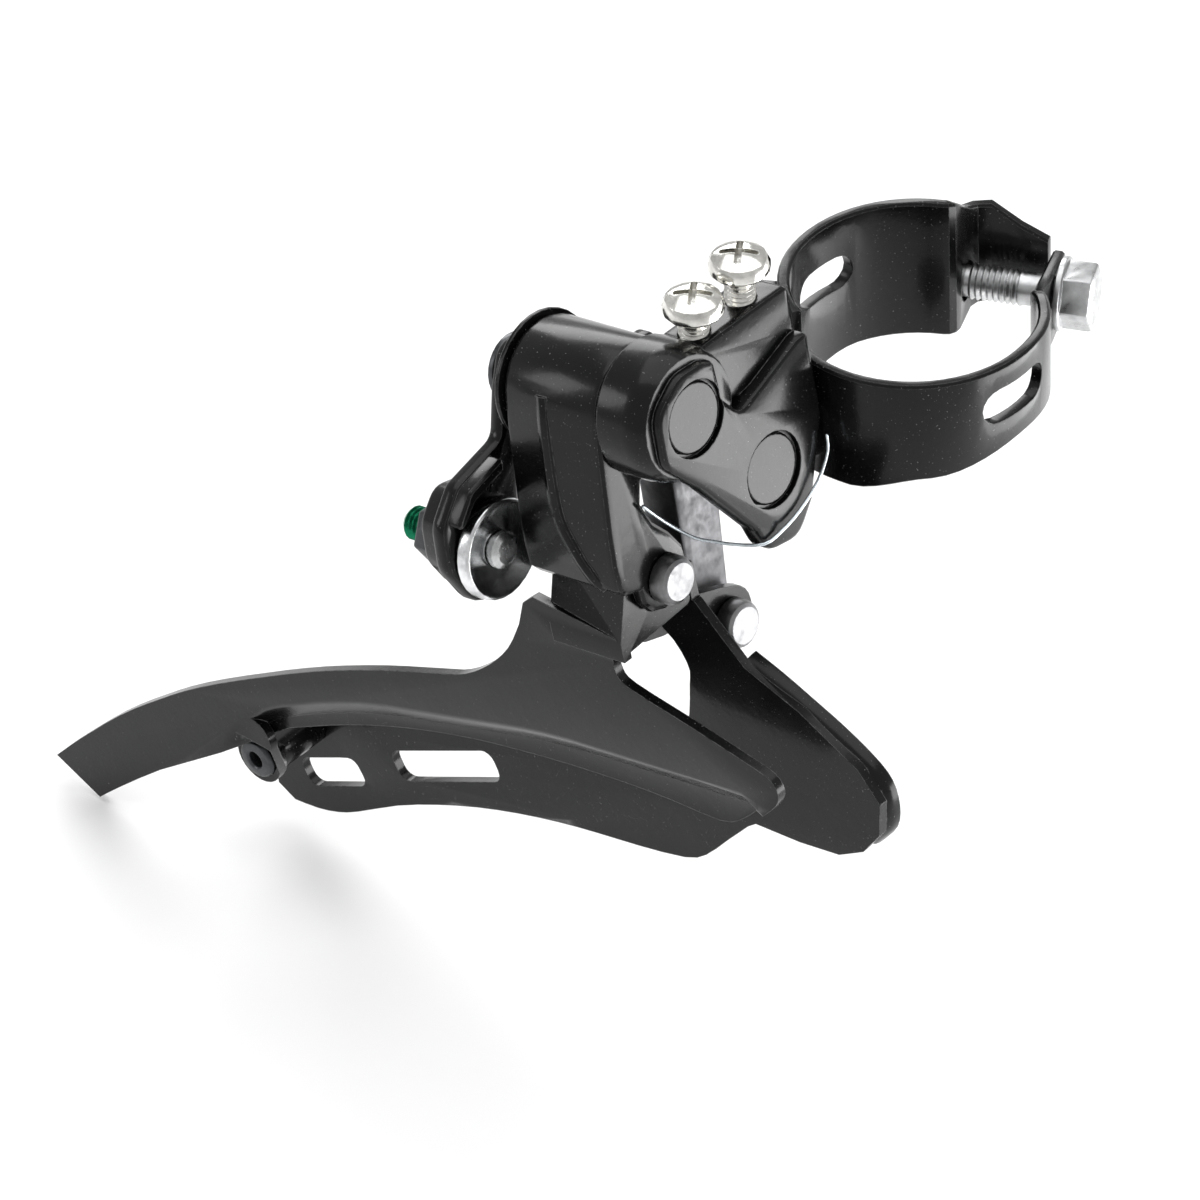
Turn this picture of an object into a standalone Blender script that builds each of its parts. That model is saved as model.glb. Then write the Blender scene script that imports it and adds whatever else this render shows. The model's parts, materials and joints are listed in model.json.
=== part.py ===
"""Band-clamp front derailleur: clamp, bracket, parallelogram link and chain cage.

Frame: origin at the centre of the seat-tube clamp, +Z up the seat tube, +X forward,
-Y outboard (drive side).  Sizes are in millimetres and scaled to metres in `finish`.
The pivots share one axis direction, tilted up towards the front.  Linkage pieces are
drawn in a link frame: n outboard, t up, d behind the bracket's front face.
"""
import math

import bmesh
import bpy
from mathutils import Matrix, Vector
from mathutils.geometry import delaunay_2d_cdt

MM = 0.001
GAP = 0.3

# seat-tube clamp
TUBE_R = 15.9
BAND_T = 1.6
BAND_TOP = 9.2
BAND_BOTTOM = -8.8
FIXED_TOP = 14.0
FIXED_BOTTOM = -7.0
LUG_TOP = 4.5
LUG_BOTTOM = -7.6
HINGE_X = -7.4
HINGE_Y = -20.3
HINGE_PIN_R = 1.3
KNUCKLE_R = 2.6

# clamp bolt: axis in the XY plane at height BOLT_Z
BOLT_ANGLE = math.radians(24.6)
BOLT_OFFSET = 21.5
BOLT_Z = -1.6
BOLT_R = 2.45
BOLT_HEAD_AF = 8.0
BOLT_HEAD_H = 3.8
LUG_FRONT_S = 12.3
LUG_REAR_S = 1.6
LUG_END = 25.2
HOOK_K = 25.8
RIVET_ANGLE = math.radians(222.0)
RIVET_Z = 4.6
RIVET_R = 1.6

# link frame
TILT = math.radians(10.5)
FACE_P = 0.5
PIVOT_A = (40.5, 14.3)
COUPLER = (-11.6, -14.0)
LINK = (2.0, -24.8)
PIVOT_B = (PIVOT_A[0] + COUPLER[0], PIVOT_A[1] + COUPLER[1])
PIVOT_C = (PIVOT_A[0] + LINK[0], PIVOT_A[1] + LINK[1])
PIVOT_D = (PIVOT_C[0] + COUPLER[0], PIVOT_C[1] + COUPLER[1])
PIN_R = 2.4
LOWER_PIN_R = 2.0
RUN = 0.06

# bracket and its limit screws
SCREW_D = 5.2
SCREW_N = {"high": 33.0, "low": 24.0}
SCREW_R = 2.1
BLOCK_T = 21.6

# outer link
HUB_R = 8.3
LINK_D0 = 9.2
LINK_D1 = 25.6
WALL = 1.6

# cable arm
ARM_D0 = LINK_D1 + 2.6
ARM_D1 = ARM_D0 + 2.4
PAD_D = ARM_D1 + 3.2
ARM_EYE = (13.2, -18.7)

# chain cage
OUTER_Y = -50.5
INNER_Y = -36.9
PLATE_T = 1.4
TAIL_EYE = (-79.5, -76.0)
FLANGE_D0 = 11.2
FLANGE_D1 = 12.5
REAR_D0 = 22.3
REAR_D1 = 23.6
JOIN_N = 39.0
JOIN_T = -15.0


def material(name, colour, roughness, metallic):
    mat = bpy.data.materials.new(name)
    mat.use_nodes = True
    bsdf = mat.node_tree.nodes["Principled BSDF"]
    bsdf.inputs["Base Color"].default_value = (*colour, 1.0)
    bsdf.inputs["Roughness"].default_value = roughness
    bsdf.inputs["Metallic"].default_value = metallic
    mat.diffuse_color = (*colour, 1.0)
    return mat


BLACK = ((0.018, 0.018, 0.020), 0.28, 0.0)
STEEL = ((0.62, 0.62, 0.63), 0.25, 1.0)


def link_matrix(n=0.0, t=0.0, d=0.0):
    """Matrix of the link frame: x is n, y is t, z is d, in millimetres."""
    c, s = math.cos(TILT), math.sin(TILT)
    p = FACE_P - d
    origin = Vector((p * c - t * s, -n, p * s + t * c))
    rot = Matrix(((0.0, -s, -c), (-1.0, 0.0, 0.0), (0.0, c, -s)))
    return Matrix.Translation(origin) @ rot.to_4x4()


def axis_matrix(origin, axis, up=(0, 0, 1)):
    """Matrix whose z axis points along `axis` at `origin` (millimetres)."""
    z = Vector(axis).normalized()
    x = Vector(up).cross(z)
    if x.length < 1e-6:
        x = Vector((1, 0, 0))
    x.normalize()
    y = z.cross(x)
    rot = Matrix((x, y, z)).transposed()
    return Matrix.Translation(Vector(origin)) @ rot.to_4x4()


def finish(name, bm, matrix, look, smooth=True, angle=32.0):
    """Store a bmesh drawn in millimetres as a named object placed by `matrix`."""
    bmesh.ops.scale(bm, vec=(MM, MM, MM), verts=bm.verts)
    bmesh.ops.recalc_face_normals(bm, faces=bm.faces)
    mesh = bpy.data.meshes.new(name)
    bm.to_mesh(mesh)
    bm.free()
    obj = bpy.data.objects.new(name, mesh)
    bpy.context.scene.collection.objects.link(obj)
    place = matrix.copy()
    place.translation = matrix.translation * MM
    obj.matrix_world = place
    if smooth:
        for poly in mesh.polygons:
            poly.use_smooth = True
        mesh.set_sharp_from_angle(angle=math.radians(angle))
    if look is not None:
        mesh.materials.append(material(name, *look))
    return obj


def offset_loop(pts, dist):
    """Move a counter-clockwise closed outline inwards by `dist`."""
    out = []
    count = len(pts)
    for i in range(count):
        a, b, c = Vector(pts[i - 1]), Vector(pts[i]), Vector(pts[(i + 1) % count])
        u, v = (b - a).normalized(), (c - b).normalized()
        nu, nv = Vector((-u.y, u.x)), Vector((-v.y, v.x))
        m = nu + nv
        m = m / max(m.length_squared / 2.0, 0.35)
        out.append(tuple(b + m * dist))
    return out


def area(pts):
    return 0.5 * sum(pts[i - 1][0] * pts[i][1] - pts[i][0] * pts[i - 1][1] for i in range(len(pts)))


def ccw(pts):
    return list(pts) if area(pts) > 0 else list(reversed(pts))


def rounded(points, default=1.0, steps=4):
    """Outline with each corner filleted; a point may carry its own radius."""
    out = []
    count = len(points)
    for i in range(count):
        p = Vector(points[i][:2])
        r = points[i][2] if len(points[i]) > 2 else default
        a = Vector(points[i - 1][:2]) - p
        b = Vector(points[(i + 1) % count][:2]) - p
        turn = a.angle(b)
        if r <= 0.0 or turn > math.pi - 0.03:
            out.append(tuple(p))
            continue
        reach = r / math.tan(turn / 2.0)
        cap = 0.49 * min(a.length, b.length)
        if reach > cap:
            reach = cap
            r = reach * math.tan(turn / 2.0)
        p0, p1 = p + a.normalized() * reach, p + b.normalized() * reach
        centre = p + (a.normalized() + b.normalized()).normalized() * (r / math.sin(turn / 2.0))
        v0, v1 = p0 - centre, p1 - centre
        sweep = v0.angle_signed(v1)
        for k in range(steps + 1):
            ang = -sweep * k / steps
            c, s = math.cos(ang), math.sin(ang)
            out.append((centre.x + v0.x * c - v0.y * s, centre.y + v0.x * s + v0.y * c))
    return out


def circle(cx, cy, r, count=32):
    step = 2.0 * math.pi / count
    return [(cx + r * math.cos(step * i), cy + r * math.sin(step * i)) for i in range(count)]


def bore(cx, cy, r, count=24):
    """Hole outline whose flats clear a round shaft of radius r."""
    return circle(cx, cy, r / math.cos(math.pi / count), count)


def hull_discs(discs, steps=10):
    """Convex outline round a chain of discs (x, y, radius)."""
    pts = []
    for x, y, r in discs:
        pts += circle(x, y, r, steps * 4)
    pts = sorted(set((round(a, 6), round(b, 6)) for a, b in pts))
    chains = []
    for seq in (pts, list(reversed(pts))):
        chain = []
        for p in seq:
            while len(chain) > 1 and cross(chain[-2], chain[-1], p) <= 1e-9:
                chain.pop()
            chain.append(p)
        chains.append(chain[:-1])
    return chains[0] + chains[1]


def cross(o, a, b):
    return (a[0] - o[0]) * (b[1] - o[1]) - (a[1] - o[1]) * (b[0] - o[0])


def spline(points, steps=5):
    """Catmull-Rom curve through sketch points."""
    out = []
    count = len(points)
    for i in range(count - 1):
        q = [points[min(max(i + k, 0), count - 1)] for k in (-1, 0, 1, 2)]
        for k in range(steps):
            u = k / steps
            out.append(tuple(
                0.5 * (2 * b + (c - a) * u + (2 * a - 5 * b + 4 * c - d) * u * u
                       + (3 * b - a - 3 * c + d) * u ** 3)
                for a, b, c, d in zip(*q)))
    out.append(tuple(points[-1]))
    return out


def add_rings(bm, rings):
    """Join equal-length closed rings into a tube; return the vertex rings."""
    made = [[bm.verts.new(p) for p in ring] for ring in rings]
    for lower, upper in zip(made, made[1:]):
        for i in range(len(lower)):
            bm.faces.new((lower[i - 1], lower[i], upper[i], upper[i - 1]))
    return made


def prism(outline, z0, z1, edge=0.0, steps=2, bm=None):
    """Solid from an outline, with its top and bottom edges rounded by `edge`."""
    bm = bm or bmesh.new()
    loop = ccw(outline)
    levels = [(z0, 0.0), (z1, 0.0)]
    if edge > 0.0:
        arc = [math.pi / 2 * k / steps for k in range(steps + 1)]
        levels = [(z0 + edge * (1 - math.cos(a)), edge * (1 - math.sin(a))) for a in arc]
        levels += [(z1 - edge * (1 - math.sin(a)), edge * (1 - math.cos(a))) for a in arc]
    rings = [[(x, y, z) for x, y in offset_loop(loop, inset)] for z, inset in levels]
    made = add_rings(bm, rings)
    bm.faces.new(list(reversed(made[0])))
    bm.faces.new(made[-1])
    return bm


def lathe(profile, count=32, bm=None, closed=False):
    """Turn (radius, height) points about z; radius 0 ends are closed to a point."""
    bm = bm or bmesh.new()
    rings = []
    for r, h in profile:
        if r < 1e-6:
            rings.append([bm.verts.new((0, 0, h))])
        else:
            rings.append([bm.verts.new((x, y, h)) for x, y in circle(0, 0, r, count)])
    pairs = list(zip(rings, rings[1:]))
    if closed:
        pairs.append((rings[-1], rings[0]))
    for lower, upper in pairs:
        for i in range(count):
            if len(lower) == 1 and len(upper) == 1:
                continue
            if len(lower) == 1:
                bm.faces.new((lower[0], upper[i], upper[i - 1]))
            elif len(upper) == 1:
                bm.faces.new((lower[i - 1], lower[i], upper[0]))
            else:
                bm.faces.new((lower[i - 1], lower[i], upper[i], upper[i - 1]))
    return bm


def tube_along(path, radius, sides=8, bm=None):
    """Round wire along a 3-D path with closed ends."""
    bm = bm or bmesh.new()
    pts = [Vector(p) for p in path]
    tangent = (pts[1] - pts[0]).normalized()
    side = tangent.orthogonal().normalized()
    rings = []
    for i, p in enumerate(pts):
        a, b = pts[max(i - 1, 0)], pts[min(i + 1, len(pts) - 1)]
        tangent = (b - a).normalized()
        side = (side - tangent * side.dot(tangent)).normalized()
        other = tangent.cross(side)
        rings.append([tuple(p + side * x + other * y) for x, y in circle(0, 0, radius, sides)])
    made = add_rings(bm, rings)
    bm.faces.new(list(reversed(made[0])))
    bm.faces.new(made[-1])
    return bm


def ease(u):
    """Smooth step from 0 to 1."""
    u = min(1.0, max(0.0, u))
    return u * u * (3 - 2 * u)


def cutter(bm, matrix, name):
    obj = finish(name, bm, matrix, None, smooth=False)
    obj.hide_render = True
    obj.display_type = "WIRE"
    return obj


def combine(obj, other, operation):
    mod = obj.modifiers.new(operation.lower(), "BOOLEAN")
    mod.operation = operation
    mod.solver = "EXACT"
    mod.object = other


def cut(obj, bm, matrix, name):
    combine(obj, cutter(bm, matrix, name), "DIFFERENCE")


def join(obj, bm, matrix, name):
    combine(obj, cutter(bm, matrix, name), "UNION")


# ---------------------------------------------------------------- clamp

def bolt_point(s, k=BOLT_OFFSET, z=BOLT_Z):
    """Point at distance s along the clamp bolt and k out from the tube centre."""
    c, sn = math.cos(BOLT_ANGLE), math.sin(BOLT_ANGLE)
    return Vector((s * c - k * sn, s * sn + k * c, z))


def band_solid(path, tops, bottoms, thickness):
    """Strip that follows an XY path, thickened to the left of the path."""
    bm = bmesh.new()
    rings = []
    count = len(path)
    for i, p in enumerate(path):
        a, b = Vector(path[max(i - 1, 0)]), Vector(path[min(i + 1, count - 1)])
        t = (b - a).normalized()
        m = Vector((-t.y, t.x))
        q = Vector(p) + m * thickness
        r = 0.35
        lo, hi = bottoms[i], tops[i]
        pm = Vector(p) + m * math.copysign(r, thickness)
        qm = q - m * math.copysign(r, thickness)
        rings.append([
            (p[0], p[1], lo + r), (pm.x, pm.y, lo), (qm.x, qm.y, lo), (q.x, q.y, lo + r),
            (q.x, q.y, hi - r), (qm.x, qm.y, hi), (pm.x, pm.y, hi), (p[0], p[1], hi - r)])
    made = add_rings(bm, rings)
    bm.faces.new(list(reversed(made[0])))
    bm.faces.new(made[-1])
    return bm


def ring_arc(a0, a1, step=6.0, r=TUBE_R):
    """Arc path by angle in degrees."""
    count = max(2, int(abs(a1 - a0) / step) + 1)
    out = []
    for i in range(count + 1):
        a = math.radians(a0 + (a1 - a0) * i / count)
        out.append((r * math.cos(a), r * math.sin(a)))
    return out


def rear_lug():
    """Path that leaves the ring and turns out along the rear clamp lug."""
    bend = 1.9
    s = LUG_REAR_S - bend
    k = math.sqrt(TUBE_R ** 2 - s ** 2) + bend
    pts = [(s + bend * math.sin(a), k - bend * math.cos(a)) for a in (0.5, 1.05, 1.57)]
    # the end turns over the bolt as a hook that shields the front lug
    pts += [(LUG_REAR_S, 20.5), (LUG_REAR_S, 23.4), (2.3, 24.9), (3.9, HOOK_K), (7.8, HOOK_K), (11.5, HOOK_K)]
    start = math.degrees(BOLT_ANGLE + math.acos(s / TUBE_R))
    return start, [tuple(bolt_point(a, b).xy) for a, b in pts]


def front_lug():
    """Path that leaves the ring and turns out along the front clamp lug."""
    s = LUG_FRONT_S
    start = math.degrees(BOLT_ANGLE + math.acos((s + 1.1) / TUBE_R))
    pts = [(s + 0.42, 10.7), (s + 0.06, 12.3), (s, 14.0), (s, 19.0), (s, LUG_END)]
    return start, [tuple(bolt_point(a, b).xy) for a, b in pts]


def heights(path, profile):
    """Top and bottom heights along a path from (fraction, top, bottom) stations."""
    run = [0.0]
    for p, q in zip(path, path[1:]):
        run.append(run[-1] + math.hypot(q[0] - p[0], q[1] - p[1]))
    tops, bottoms = [], []
    for r in run:
        u = r / run[-1]
        for (u0, t0, b0), (u1, t1, b1) in zip(profile, profile[1:]):
            if u <= u1 + 1e-9:
                w = ease((u - u0) / (u1 - u0))
                tops.append(t0 + (t1 - t0) * w)
                bottoms.append(b0 + (b1 - b0) * w)
                break
    return tops, bottoms


def build_band_hinged():
    start, lug = front_lug()
    path = ring_arc(-110.0, start) + lug
    tops, bottoms = heights(path, [
        (0.0, BAND_TOP, BAND_BOTTOM), (0.12, BAND_TOP, BAND_BOTTOM + 0.6), (0.28, BAND_TOP, -5.7),
        (0.5, BAND_TOP, -3.2), (0.7, BAND_TOP - 1.0, -4.4), (0.86, LUG_TOP - 1.2, LUG_BOTTOM),
        (1.0, LUG_TOP - 2.0, LUG_BOTTOM)])
    # the strip runs from the outboard end round the front to the lug
    bm = band_solid(path, tops, bottoms, -BAND_T)
    obj = finish("clamp_band_hinged", bm, Matrix.Identity(4), BLACK)
    # knuckle round the hinge pin
    knuckle = circle(HINGE_X, HINGE_Y, KNUCKLE_R, 24)
    reach = [(HINGE_X - 1.0, HINGE_Y + 1.2), (HINGE_X + 1.7, HINGE_Y - 0.6),
             (HINGE_X + 2.0, HINGE_Y + 4.0), (HINGE_X + 1.5, HINGE_Y + 4.9)]
    join(obj, prism(knuckle, -3.9, 3.9, 0.3), Matrix.Identity(4), "cut_knuckle_mid")
    join(obj, prism(reach, -3.7, 3.7), Matrix.Identity(4), "cut_knuckle_arm")
    cut(obj, lathe([(0, -12), (HINGE_PIN_R + RUN, -12), (HINGE_PIN_R + RUN, 12), (0, 12)], 24),
        Matrix.Translation((HINGE_X, HINGE_Y, 0)), "cut_hinge_bore")
    slot_angle = math.radians(-2.0)
    slot_at = (math.cos(slot_angle) * 16, math.sin(slot_angle) * 16, 3.3)
    cut(obj, prism(rounded([(-5.8, -2.6), (5.8, -2.6), (5.8, 2.6), (-5.8, 2.6)], 2.5), -4, 4),
        axis_matrix(slot_at, slot_at[:2] + (0,)), "cut_slot_front")
    # bolt notch, open at the lug's end so that the band can swing away
    r = BOLT_R + 0.35
    notch = [(r * math.cos(a), r * math.sin(a)) for a in [math.radians(-90 - 15 * k) for k in range(13)]]
    notch += [(9.0, r), (9.0, -r)]
    matrix = axis_matrix(bolt_point(LUG_FRONT_S + 0.8), bolt_point(1) - bolt_point(0))
    cut(obj, prism(notch, -4, 4), matrix, "cut_lug_front")
    return obj


def build_band_fixed():
    start, lug = rear_lug()
    path = ring_arc(245.5, start) + lug
    tops, bottoms = heights(path, [
        (0.0, FIXED_TOP, BAND_BOTTOM), (0.25, FIXED_TOP, BAND_BOTTOM + 0.4), (0.45, FIXED_TOP, FIXED_BOTTOM),
        (0.66, FIXED_TOP, FIXED_BOTTOM), (0.84, 8.2, LUG_BOTTOM), (1.0, LUG_TOP - 1.2, LUG_BOTTOM)])
    bm = band_solid(path, tops, bottoms, BAND_T)
    obj = finish("clamp_band_fixed", bm, Matrix.Identity(4), BLACK)
    for name, lo, hi in (("upper", 4.3, 8.6), ("lower", -8.6, -4.3)):
        knuckle = circle(HINGE_X, HINGE_Y, KNUCKLE_R, 24)
        reach = [(HINGE_X + 0.8, HINGE_Y + 1.4), (HINGE_X - 2.4, HINGE_Y + 0.2),
                 (HINGE_X - 1.6, HINGE_Y + 5.6), (HINGE_X + 0.8, HINGE_Y + 4.6)]
        join(obj, prism(knuckle, lo, hi, 0.3), Matrix.Identity(4), "cut_knuckle_" + name)
        join(obj, prism(reach, lo + 0.2, hi - 0.2), Matrix.Identity(4), "cut_arm_" + name)
    cut(obj, lathe([(0, -12), (HINGE_PIN_R + RUN, -12), (HINGE_PIN_R + RUN, 12), (0, 12)], 24),
        Matrix.Translation((HINGE_X, HINGE_Y, 0)), "cut_hinge_bore_fixed")
    slot_angle = math.radians(178.0)
    slot_at = (math.cos(slot_angle) * 16, math.sin(slot_angle) * 16, 5.6)
    cut(obj, prism(rounded([(-5.2, -2.6), (5.2, -2.6), (5.2, 2.6), (-5.2, 2.6)], 2.5), -4, 4),
        axis_matrix(slot_at, slot_at[:2] + (0,)), "cut_slot_rear")
    cut(obj, prism(circle(0, 0, BOLT_R + 0.35, 24), -4, 4),
        axis_matrix(bolt_point(LUG_REAR_S - 0.8), bolt_point(1) - bolt_point(0)), "cut_lug_rear")
    for name, z in (("up", RIVET_Z), ("down", -RIVET_Z)):
        cut(obj, prism(bore(0, 0, RIVET_R + 0.03, 16), -5, 9), rivet_matrix(z), "cut_rivet_" + name)
    return obj


def rivet_matrix(z):
    c, s = math.cos(RIVET_ANGLE), math.sin(RIVET_ANGLE)
    return axis_matrix((c * TUBE_R, s * TUBE_R, z), (c, s, 0))


def build_rivets():
    """Flat-headed rivets that hold the bracket's saddle to the fixed band."""
    profile = [(0, 0.1), (RIVET_R, 0.1), (RIVET_R, 3.9), (2.7, 3.9), (2.7, 4.5), (1.9, 5.0), (0, 5.1)]
    for name, z in (("mounting_rivet_upper", RIVET_Z), ("mounting_rivet_lower", -RIVET_Z)):
        finish(name, lathe(profile, 20), rivet_matrix(z), STEEL)


def build_hinge_pin():
    profile = [(0, -9.6), (1.9, -9.5), (1.9, -8.95), (HINGE_PIN_R, -8.95),
               (HINGE_PIN_R, 8.9), (1.9, 8.9), (1.9, 9.3), (0, 9.5)]
    finish("clamp_hinge_pin", lathe(profile, 24), Matrix.Translation((HINGE_X, HINGE_Y, 0)), STEEL)


def build_clamp_bolt():
    head = LUG_FRONT_S + BAND_T + GAP
    axis = bolt_point(1) - bolt_point(0)
    corner = BOLT_HEAD_AF / math.sqrt(3)
    profile = [(0, -3.6), (1.9, -3.6), (BOLT_R - 0.3, -3.1), (BOLT_R - 0.3, 1.8)]
    z = 2.2
    while z < 9.0:
        profile += [(BOLT_R - 0.4, z), (BOLT_R, z + 0.35)]
        z += 0.8
    profile += [(BOLT_R - 0.2, z), (BOLT_R - 0.2, head), (5.0, head), (5.0, head + 0.7),
                (4.2, head + 0.9), (0, head + 0.9)]
    bm = lathe(profile, 18)
    obj = finish("clamp_bolt", bm, axis_matrix(bolt_point(0), axis), STEEL, angle=25)
    hexagon = circle(0, 0, corner, 6)
    hexagon = [(x, y) for x, y in rounded(hexagon, 0.3, 1)]
    join(obj, prism(hexagon, head + 0.4, head + BOLT_HEAD_H + 0.9, 0.45), axis_matrix(bolt_point(0), axis),
         "cut_bolt_hex")
    return obj


def build_clamp_nut():
    axis = bolt_point(1) - bolt_point(0)
    top = LUG_REAR_S - BAND_T - 0.15
    bm = prism(rounded([(-3.7, -3.7), (3.7, -3.7), (3.7, 3.7), (-3.7, 3.7)], 0.6, 2), top - 3.0, top, 0.3)
    obj = finish("clamp_nut", bm, axis_matrix(bolt_point(0), axis), ((0.05, 0.05, 0.055), 0.4, 0.7))
    cut(obj, prism(circle(0, 0, BOLT_R + 0.05, 24), -9, 9), axis_matrix(bolt_point(0), axis), "cut_nut")
    return obj


# ---------------------------------------------------------------- bracket

def body_face():
    """Outline of the bracket's front plate in n, t."""
    a, b = PIVOT_A, PIVOT_B
    return rounded([
        (a[0] - 2.9, a[1] + 6.6, 1.5), (a[0] + 1.6, a[1] + 6.9, 4.0), (a[0] + 6.6, a[1] + 3.6, 4.0),
        (a[0] + 6.8, a[1] - 3.8, 4.0), (a[0] + 1.2, a[1] - 9.8, 4.0), (b[0] + 5.0, b[1] - 6.4, 3.0),
        (b[0] + 3.6, b[1] - 10.4, 2.5), (b[0] - 2.4, b[1] - 11.4, 3.5), (b[0] - 6.0, b[1] - 7.6, 2.0),
        (18.6, 3.4, 3.0), (18.4, 15.2, 1.6), (20.6, 15.0, 1.2), (32.6, 10.9, 1.8),
        (35.2, 14.2, 1.5), (35.5, 20.0, 1.0)], 1.5, 3)


def screw_matrix(which):
    """Limit screws stand parallel to the seat tube."""
    top = link_matrix(SCREW_N[which], BLOCK_T, SCREW_D).translation
    return Matrix.Translation(top)


def build_bracket():
    obj = finish("bracket_body", prism(body_face(), 0.0, 3.3, 0.7, 2), link_matrix(), BLACK)
    # cup round the upper pivot of the outer link
    lobe = lathe([(0, 1.2), (8.0, 1.2), (8.8, 2.4), (9.1, 4.4), (9.1, LINK_D0 - 0.6),
                  (8.9, LINK_D0 - GAP), (0, LINK_D0 - GAP)], 28)
    join(obj, lobe, link_matrix(*PIVOT_A), "cut_lobe")
    # block that carries the two limit screws
    block = [(18.5, 11.8, 1.0), (33.4, 11.8, 1.0), (36.2, 16.0, 1.0), (35.4, BLOCK_T, 1.0),
             (18.5, BLOCK_T, 1.2)]
    join(obj, prism(rounded(block), 1.9, 9.0, 0.6), link_matrix(), "cut_block")
    # bridge back to the rear wall, clear of the hinge knuckles and the link hub
    bridge = [(23.4, 7.2, 0.6), (30.6, 7.2, 0.6), (30.6, 12.0, 0.6), (23.4, 12.0, 0.6)]
    join(obj, prism(rounded(bridge), 2.0, 25.1, 0.5), link_matrix(), "cut_bridge")
    wall = [(23.1, 12.2, 1.0), (30.8, 12.2, 1.0), (31.2, 8.0, 2.0), (32.8, 0.6, 4.0), (29.6, -5.4, 4.0),
            (24.6, -4.6, 3.5), (22.4, 1.0, 2.0), (22.4, 7.0, 1.0)]
    join(obj, prism(rounded(wall), 22.8, 25.4, 0.5), link_matrix(), "cut_rear_wall")
    # saddle that hugs the fixed band, with its arm down from the rear wall
    outer = ring_arc(210.0, 234.0, 4.0, TUBE_R + BAND_T + 2.2)
    inner = ring_arc(210.0, 234.0, 4.0, TUBE_R + BAND_T + 0.12)
    join(obj, prism(outer + list(reversed(inner)), -8.4, 11.6, 0.3), Matrix.Identity(4), "cut_saddle")
    arm = [(-11.6, -15.0), (-14.6, -12.8), (-23.6, -19.6), (-25.0, -23.2), (-25.0, -26.4), (-22.6, -26.4),
           (-20.6, -22.6)]
    join(obj, prism(rounded(arm, 0.8, 2), -1.5, 1.5, 0.4), Matrix.Identity(4), "cut_saddle_arm")
    for tag, pivot in (("a", PIVOT_A), ("b", PIVOT_B)):
        # shallow round recess that the wide pin head sits in
        recess = [(0, -1.0), (5.2, -1.0), (5.2, 0.9), (4.9, 1.0), (0, 1.0)]
        cut(obj, lathe(recess, 28), link_matrix(*pivot), "cut_recess_" + tag)
        cut(obj, prism(bore(0, 0, PIN_R + 0.02), -2, 30), link_matrix(*pivot), "cut_bore_" + tag)
    for which in ("high", "low"):
        hole = prism(bore(0, 0, SCREW_R + RUN, 20), -11.2, 6)
        cut(obj, hole, screw_matrix(which), "cut_screw_" + which)
    for name, z in (("up", RIVET_Z), ("down", -RIVET_Z)):
        cut(obj, prism(bore(0, 0, RIVET_R + 0.03, 16), -1, 12), rivet_matrix(z), "cut_saddle_rivet_" + name)
    return obj


def build_limit_screw(which):
    """Pan-head cross-recess screw standing on its thread above the block."""
    lift = 3.2 if which == "high" else 4.4
    profile = [(0, -10.6), (1.2, -10.6), (SCREW_R - 0.35, -9.8), (SCREW_R - 0.35, -2.0)]
    z = -1.6
    while z < lift - 0.8:
        profile += [(SCREW_R - 0.4, z), (SCREW_R, z + 0.3)]
        z += 0.7
    profile += [(SCREW_R - 0.3, lift), (3.7, lift), (4.0, lift + 0.4), (4.0, lift + 1.3),
                (3.6, lift + 2.1), (2.6, lift + 2.7), (1.2, lift + 3.0), (0, lift + 3.05)]
    name = "limit_screw_" + which
    obj = finish(name, lathe(profile, 16), screw_matrix(which), ((0.75, 0.75, 0.74), 0.18, 1.0), angle=28)
    for k in range(2):
        bar = prism(rounded([(-2.5, -0.45), (2.5, -0.45), (2.5, 0.45), (-2.5, 0.45)], 0.25, 2),
                    lift + 1.5, lift + 4.0)
        turn = Matrix.Rotation(math.radians(35 + 90 * k), 4, "Z")
        cut(obj, bar, screw_matrix(which) @ turn, "cut_cross_%s_%d" % (which, k))
    return obj


def build_upper_pins():
    for name, pivot, end in (("pivot_pin_outer_upper", PIVOT_A, 33.4), ("pivot_pin_inner_upper", PIVOT_B, 26.4)):
        profile = [(0, 0.5), (4.5, 0.5), (4.8, 0.68), (4.8, 0.96), (PIN_R, 0.96), (PIN_R, end - 0.4),
                   (PIN_R - 0.4, end), (0, end)]
        look = ((0.03, 0.03, 0.033), 0.35, 0.4)
        finish(name, lathe(profile, 28), link_matrix(*pivot), look)


# ---------------------------------------------------------------- linkage

def link_outline(grow=0.0):
    """Outer link in n, t measured from its upper pivot."""
    top = [(HUB_R * math.cos(a), HUB_R * math.sin(a)) for a in
           [math.radians(4 + 12.5 * k) for k in range(16)]]
    side = [(8.75, -3.0), (9.3, -8.0), (9.9, -14.0), (10.2, -19.0), (10.0, -22.6), (8.9, -23.9)]
    low = [(6.6, -24.6), (6.4, -26.6), (4.9, -28.6), (2.6, -29.4), (0.2, -29.2), (-1.8, -27.6),
           (-2.7, -25.2), (-2.4, -22.4), (-0.6, -19.4), (1.8, -16.6), (3.2, -13.2), (2.4, -10.4),
           (-0.6, -8.7), (-4.4, -7.2)]
    loop = ccw(list(reversed(side)) + top + list(reversed(low)))
    return offset_loop(loop, -grow) if grow else loop


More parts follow.
